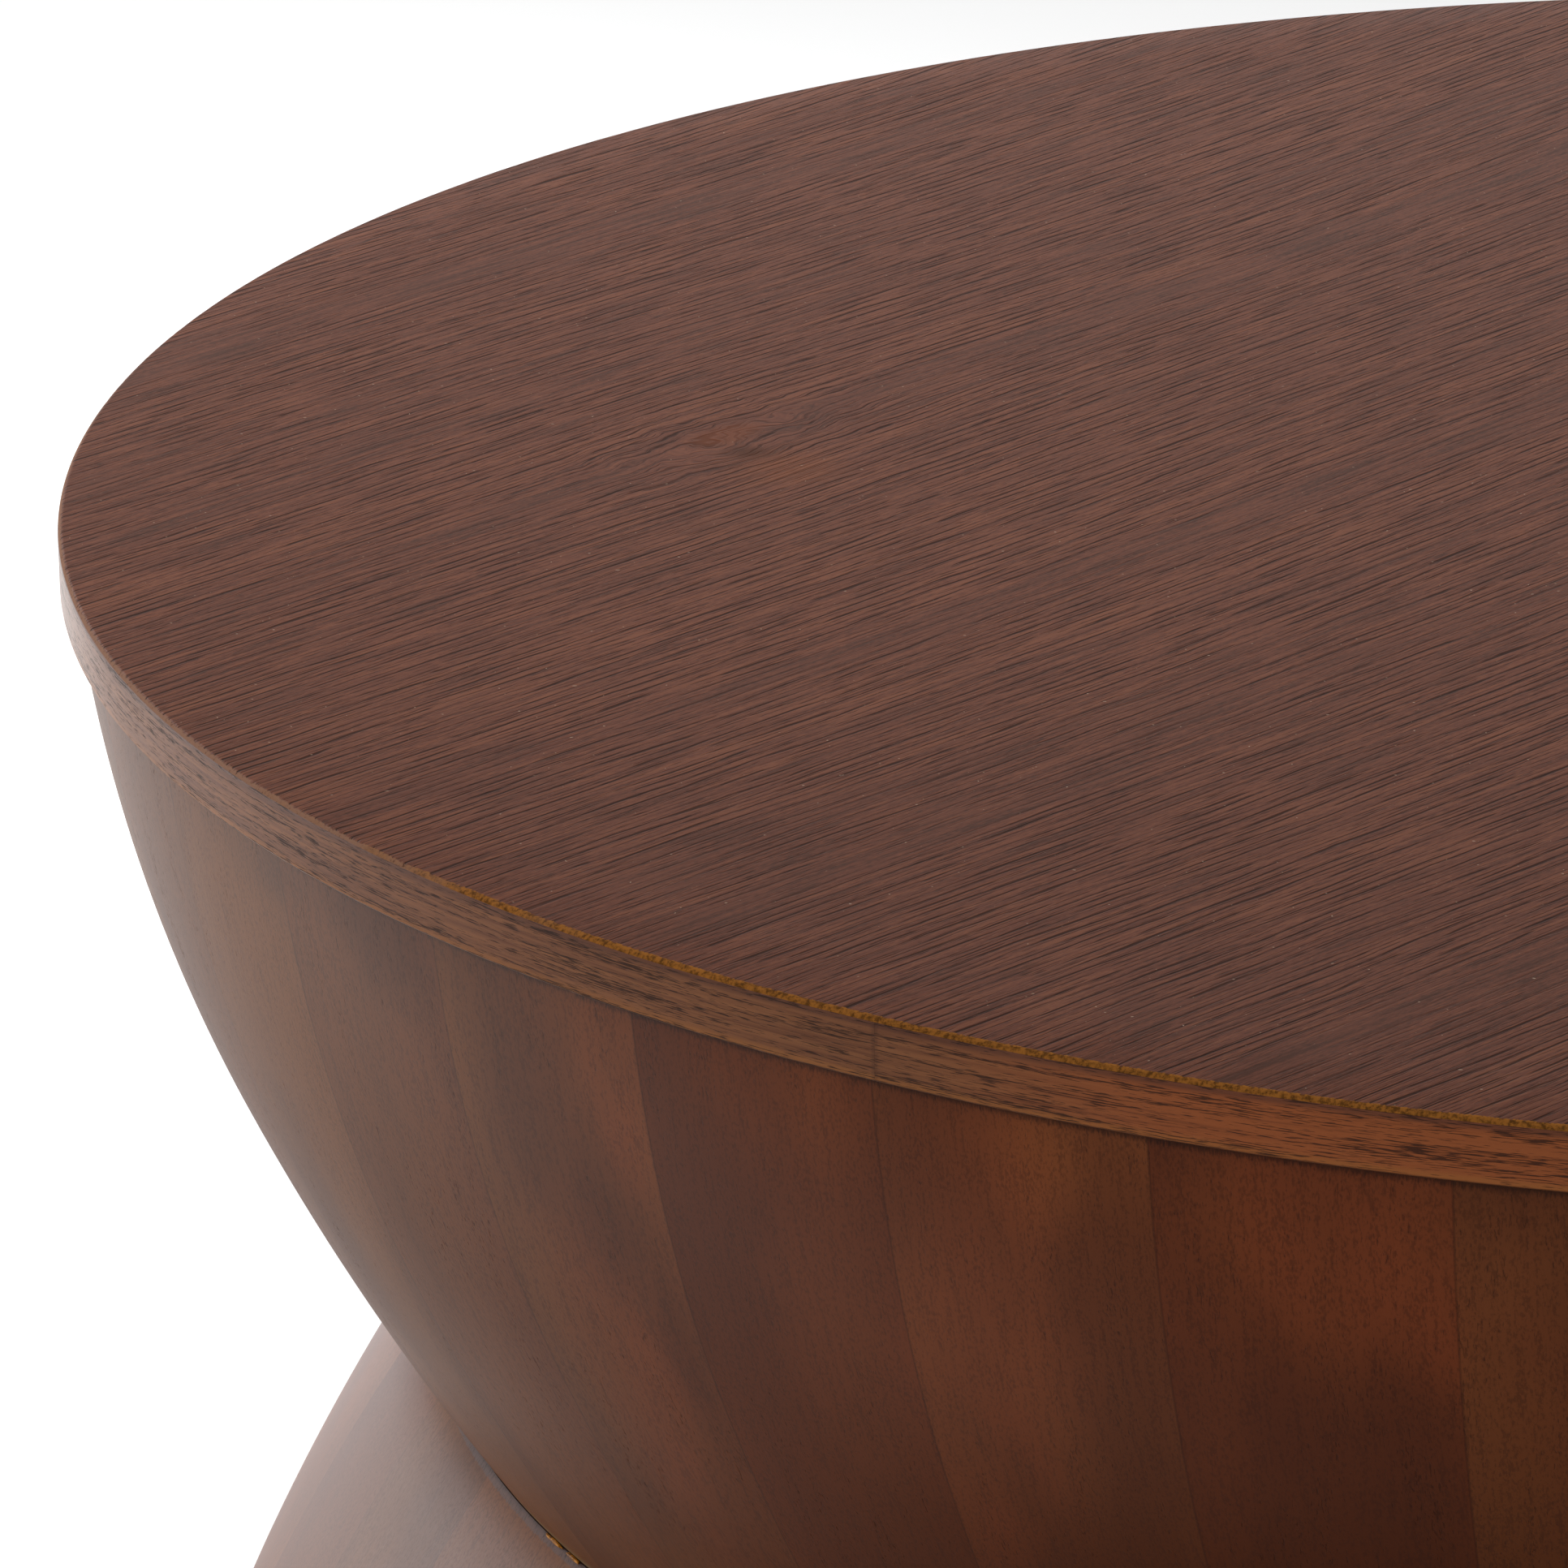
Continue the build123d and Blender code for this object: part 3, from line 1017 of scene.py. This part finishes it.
def metal():
    """Bright zinc plate, a little cloudy."""
    finish = Finish("bright_zinc")
    cloud = finish.cloud(finish.place(), scale=900.0, detail=3.0)
    colour = finish.blend(cloud, paint("9c9c96"), paint("c2c1ba"))
    return finish.close(Base_Color=colour, Metallic=1.0, Roughness=0.25 + cloud * 0.2)


def felt():
    """Dark brown fibres pressed flat."""
    finish = Finish("pressed_felt")
    fibre = finish.cloud(finish.place(), scale=1500.0, detail=4.0, roughness=0.7)
    colour = finish.blend(fibre.rise(0.3, 0.7), paint("3a2b22"), paint("5b4638"))
    return finish.close(Base_Color=colour, Roughness=0.95, Normal=finish.dents(fibre, 0.0004))


inner_finishes = {
    "core_board": raw_wood("raw_board", "9c7850", "b99466", 0),
    "backing_veneer": raw_wood("raw_backing", "8c6a48", "a8845c", 0),
    "long_batten": raw_wood("raw_long_batten", "9a7046", "b88c5e", 0),
    "cross_batten": raw_wood("raw_cross_batten", "9a7046", "b88c5e", 1),
    "waist_dowels": raw_wood("raw_dowels", "b48c60", "cfa87c", 2),
    "rim_screws": metal(),
    "foot_pads": felt(),
}
layered = plywood()
for node in ("rim_ring", "foot_ring", "upper_waist_ring", "lower_waist_ring"):
    inner_finishes[node] = layered
for node, finish in inner_finishes.items():
    holder = nodes[node].material_slots[0]
    holder.link = "OBJECT"
    holder.material = finish
print("inner pieces finished:", len(inner_finishes))

# %% [markdown]
# ## Floor, backdrop and light
# A floor of white paper and an even white sky act like a photographer's white room. The sky has two
# strengths. The camera and the gloss on the wood see it pure white, but the light it sheds on the table
# is less than half of that, so the stain keeps its own depth. The floor is plain paper, and the table's
# shadow stays on it.


# %% The floor and the white room
floor_reach = 12.0
sky_light = 0.45


def make_floor():
    """A square sheet of white paper, which is part of the stage and not of the table."""
    mesh = bpy.data.meshes.new("studio_floor")
    signs = ((-1, -1), (1, -1), (1, 1), (-1, 1))
    corners = [(floor_reach * x, floor_reach * y, 0.0) for x, y in signs]
    mesh.from_pydata(corners, [], [(0, 1, 2, 3)])
    floor = bpy.data.objects.new("studio_floor", mesh)
    bpy.context.scene.collection.objects.link(floor)
    finish = Finish("white_paper")
    finish.make_output(finish.make("BsdfDiffuse", None, Color=(0.96, 0.96, 0.96, 1.0)))
    mesh.materials.append(finish.material)


class Sky(Finish):
    """The world's own node tree, with the same way to add nodes."""

    def __init__(self, world):
        self.tree = world.node_tree
        self.tree.nodes.clear()

    def make_output(self, shader):
        """Let the shader be the light of the world."""
        node = self.tree.nodes.new("ShaderNodeOutputWorld")
        self.tree.links.new(shader.socket, node.inputs["Surface"])


make_floor()
scene = bpy.context.scene
scene.world = bpy.data.worlds.new("white_room")
scene.world.use_nodes = True
sky = Sky(scene.world)
ray = sky.make("LightPath", None, out="Is Camera Ray")
seen_ray = ray.sum("MAXIMUM", ray, ray.sibling("Is Glossy Ray"))
seen_ray = seen_ray.sum("MAXIMUM", seen_ray, ray.sibling("Is Transmission Ray"))
strength = sky_light + seen_ray * (1.0 - sky_light)
sky.make_output(sky.make("Background", None, (1.0, 1.0, 1.0, 1.0), strength))
print("light of the sky on the table:", sky_light, "of the white that is seen")

# %% [markdown]
# ### Two wide, weak lamps
# Light from every side alone would leave the side of the bowl flat. One weak lamp high behind the table
# and one in front on the left give it a turn from light to dark. Both are as wide as a large window, so
# that they leave no hard edge of shadow.


# %% Two wide soft lamps
def hang(name, data, place, target):
    """Hang a lamp at a place, so that it looks at a target."""
    lamp = bpy.data.objects.new(name, data)
    lamp.location = place
    lamp.rotation_euler = (Vector(target) - Vector(place)).to_track_quat("-Z", "Y").to_euler()
    scene.collection.objects.link(lamp)


def soft_lamp(name, azimuth, elevation, width, strength):
    """A very wide lamp far away; at strength 1 it lights a white sheet that faces it to white."""
    data = bpy.data.lights.new(name, "SUN")
    data.angle = width
    data.energy = pi * strength
    toward = Vector((cos(azimuth) * cos(elevation), sin(azimuth) * cos(elevation), sin(elevation)))
    hang(name, data, toward * 4, (0.0, 0.0, 0.0))


wide = radians(70)
soft_lamp("back_lamp", radians(105), radians(40), wide, 0.2)
soft_lamp("front_lamp", radians(-140), radians(35), wide, 0.2)

# %% [markdown]
# ### Two soft boxes on the left
# The left side of the table is brighter than the rest. A low soft box, a little above the table, lights
# the turned sides, and a higher one behind it lights the left part of the top.


# %% Two soft boxes on the left
def soft_box(name, size, power, place, target):
    """A square soft box that looks from its place at a target."""
    data = bpy.data.lights.new(name, "AREA")
    data.size = size
    data.energy = power
    hang(name, data, place, target)


soft_box("low_soft_box", 1.3, 14.5, (-2.1, 0.5, 0.65), (-0.3, -0.1, 0.2))
soft_box("high_soft_box", 1.0, 26.0, (-1.6, 1.3, 1.2), (-0.3, -0.1, 0.3))

# %% [markdown]
# ## The camera
# A long lens looks down on the table from the front at about nineteen degrees, and a little to the left
# of its middle, so that the picture holds the left part of the top and of the upper bowl.

# %% The camera
eye = Vector((0.0, -2.01100, 1.02670))
turn_left, look_down, roll = 0.13735, 0.33721, -0.01484
forward = Vector((-sin(turn_left) * cos(look_down), cos(turn_left) * cos(look_down), -sin(look_down)))
level_right = Vector((cos(turn_left), sin(turn_left), 0.0))
level_up = level_right.cross(forward)
right = cos(roll) * level_right + sin(roll) * level_up
up = cos(roll) * level_up - sin(roll) * level_right
camera_data = bpy.data.cameras.new("camera")
camera_data.sensor_width = 36.0
camera_data.lens = 202.4
camera = bpy.data.objects.new("camera", camera_data)
camera.matrix_world = Matrix((
    (right.x, up.x, -forward.x, eye.x),
    (right.y, up.y, -forward.y, eye.y),
    (right.z, up.z, -forward.z, eye.z),
    (0.0, 0.0, 0.0, 1.0),
))
scene.collection.objects.link(camera)
scene.camera = camera
scene.view_settings.view_transform = "Standard"
print(f"camera {eye.length:.3f} m from the foot's middle, looking down {degrees(look_down):.0f} degrees")
